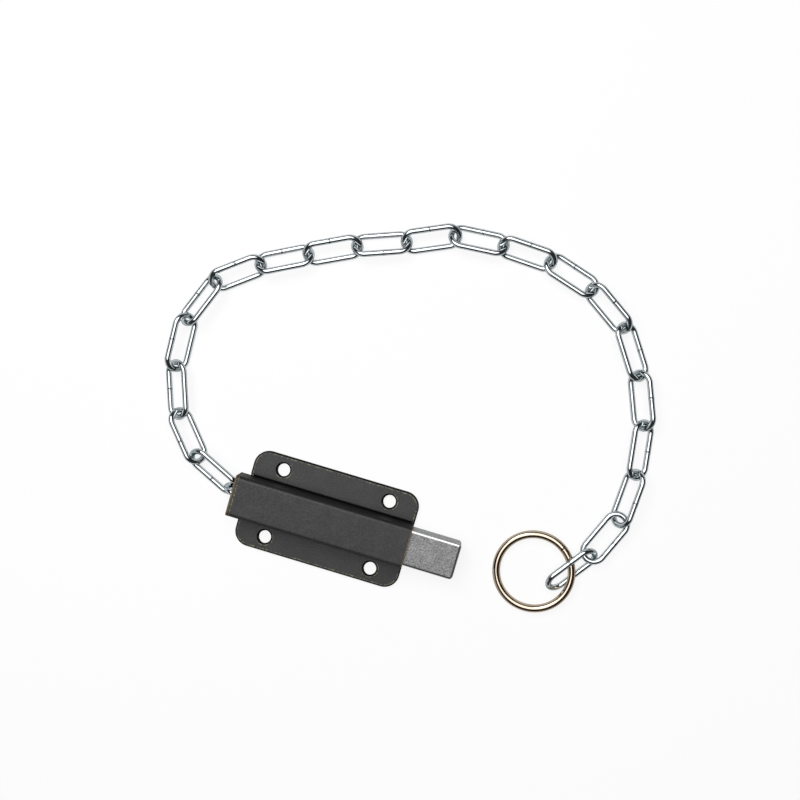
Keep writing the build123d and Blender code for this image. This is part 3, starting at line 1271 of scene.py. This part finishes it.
@dataclass
class Studio:
    """The white table, the two soft lights, the room round them and the camera."""

    eye: tuple[float, float, float] = (0.04643, 0.11000, 0.6)
    right: tuple[float, float, float] = (0.95823, 0.27936, -0.06122)
    up: tuple[float, float, float] = (-0.28247, 0.95799, -0.04965)
    lens: float = 51.78
    sensor: float = 36.0
    table_half: float = 8.0
    table_drop: float = 0.05
    table_white: Colour = (0.93, 0.93, 0.93)
    table_glow: float = 0.86
    lamps: tuple[SoftLight, ...] = (
        SoftLight("overhead_light", (-0.1, 0.16, 0.9), 1.12, 8.4),
        SoftLight("side_light", (-0.36, 0.44, 0.85), 0.6, 3.3),
    )
    air: Colour = (0.96, 0.98, 1.0)
    wall_strength: float = 0.62
    wall_fall: float = 0.58
    wall_band: Band = (-0.45, 0.3)
    ceiling_strength: float = 0.03
    ceiling_band: Band = (0.4, 0.55)
    dark_side: tuple[float, float, float] = (0.877, -0.480, 0.0)
    lamp_way: tuple[float, float, float] = (-0.18, 0.17, 0.97)

    def table(self) -> None:
        """Lays the table just under the piece, whiter to the eye than to the light."""
        shape = bmesh.new()
        bmesh.ops.create_grid(shape, x_segments=1, y_segments=1, size=self.table_half)
        bmesh.ops.translate(shape, verts=shape.verts, vec=(0, 0, -self.table_drop * MM))
        mesh = bpy.data.meshes.new("table")
        shape.to_mesh(mesh)
        shape.free()
        top = mesh_object("table", mesh)
        sheet = FinishSheet("table_white")
        camera = sheet.node("ShaderNodeLightPath", out="Is Camera Ray")
        seen = camera.most(camera.beside("Is Glossy Ray")).most(camera.beside("Is Transmission Ray"))
        matt = sheet.node("ShaderNodeBsdfDiffuse", None, {"Color": self.table_white})
        white = sheet.node("ShaderNodeEmission", None, {"Color": (1.0, 1.0, 1.0), "Strength": 1.0})
        share = seen * self.table_glow
        sheet.end_in(sheet.node("ShaderNodeMixShader", None, {0: share, 1: matt, 2: white}))
        mesh.materials.append(sheet.material)

    def light(self, lamp: SoftLight) -> None:
        """Hangs one soft light, placed across and up the picture from the piece's middle."""
        centre = Vector((self.eye[0], self.eye[1], 0.0))
        right = Vector((self.right[0], self.right[1], 0.0)).normalized()
        ahead = Vector((-right.y, right.x, 0.0))
        aside, away, height = lamp.place
        light = bpy.data.lights.new(lamp.name, "AREA")
        light.shape = "DISK"
        light.size = lamp.width
        light.energy = lamp.power
        holder = bpy.data.objects.new(lamp.name, light)
        bpy.context.scene.collection.objects.link(holder)
        holder.location = centre + right * aside + ahead * away + Vector((0, 0, height))
        holder.rotation_euler = (centre - holder.location).to_track_quat("-Z", "Y").to_euler()

    def room(self) -> None:
        """Fills the room: dark round the lamp, paler walls up and left, dark ones lower right."""
        world = bpy.data.worlds.new("room")
        bpy.context.scene.world = world
        world.use_nodes = True
        sheet = ShaderSheet(world.node_tree)
        way = sheet.node("ShaderNodeTexCoord", out="Generated")
        side = sheet.vector("DOT_PRODUCT", {0: way, 1: self.dark_side}, out="Value")
        lamp = sheet.vector("DOT_PRODUCT", {0: way, 1: self.lamp_way}, out="Value")
        walls = self.wall_strength - self.wall_fall * side.step(*self.wall_band)
        near = lamp.step(*self.ceiling_band)
        sky = sheet.node("ShaderNodeBackground", None, {
            "Color": self.air, "Strength": walls * (1 - near) + self.ceiling_strength * near})
        sheet.end_in(sky, "ShaderNodeOutputWorld")

    def camera(self) -> None:
        """Sets the camera above the piece, turned and tilted as the photograph's was."""
        lens = bpy.data.cameras.new("camera")
        lens.lens = self.lens
        lens.sensor_width = self.sensor
        holder = bpy.data.objects.new("camera", lens)
        bpy.context.scene.collection.objects.link(holder)
        right, up = Vector(self.right).normalized(), Vector(self.up)
        back = right.cross(up).normalized()
        turn = Matrix((right, back.cross(right), back)).transposed().to_4x4()
        holder.matrix_world = Matrix.Translation(self.eye) @ turn
        bpy.context.scene.camera = holder

    def set_up(self) -> None:
        """Prepares the table, the lights, the room and the camera."""
        self.table()
        for lamp in self.lamps:
            self.light(lamp)
        self.room()
        self.camera()
        bpy.context.scene.view_settings.view_transform = "Standard"


def main() -> None:
    """Builds every sub-assembly in order."""
    logging.basicConfig(level=logging.INFO, format="%(name)s: %(message)s")
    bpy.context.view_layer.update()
    parts = (
        FoldedCase(), BackPlate(), SpringStop(), FlatBolt(), DrawRod(), ReturnSpring(),
        LongLinkChain(), PullRing(),
    )
    for part in parts:
        part.dress()
        LOG.info("%s is dressed", type(part).__name__)
    Studio().set_up()


if __name__ == "__main__":
    main()
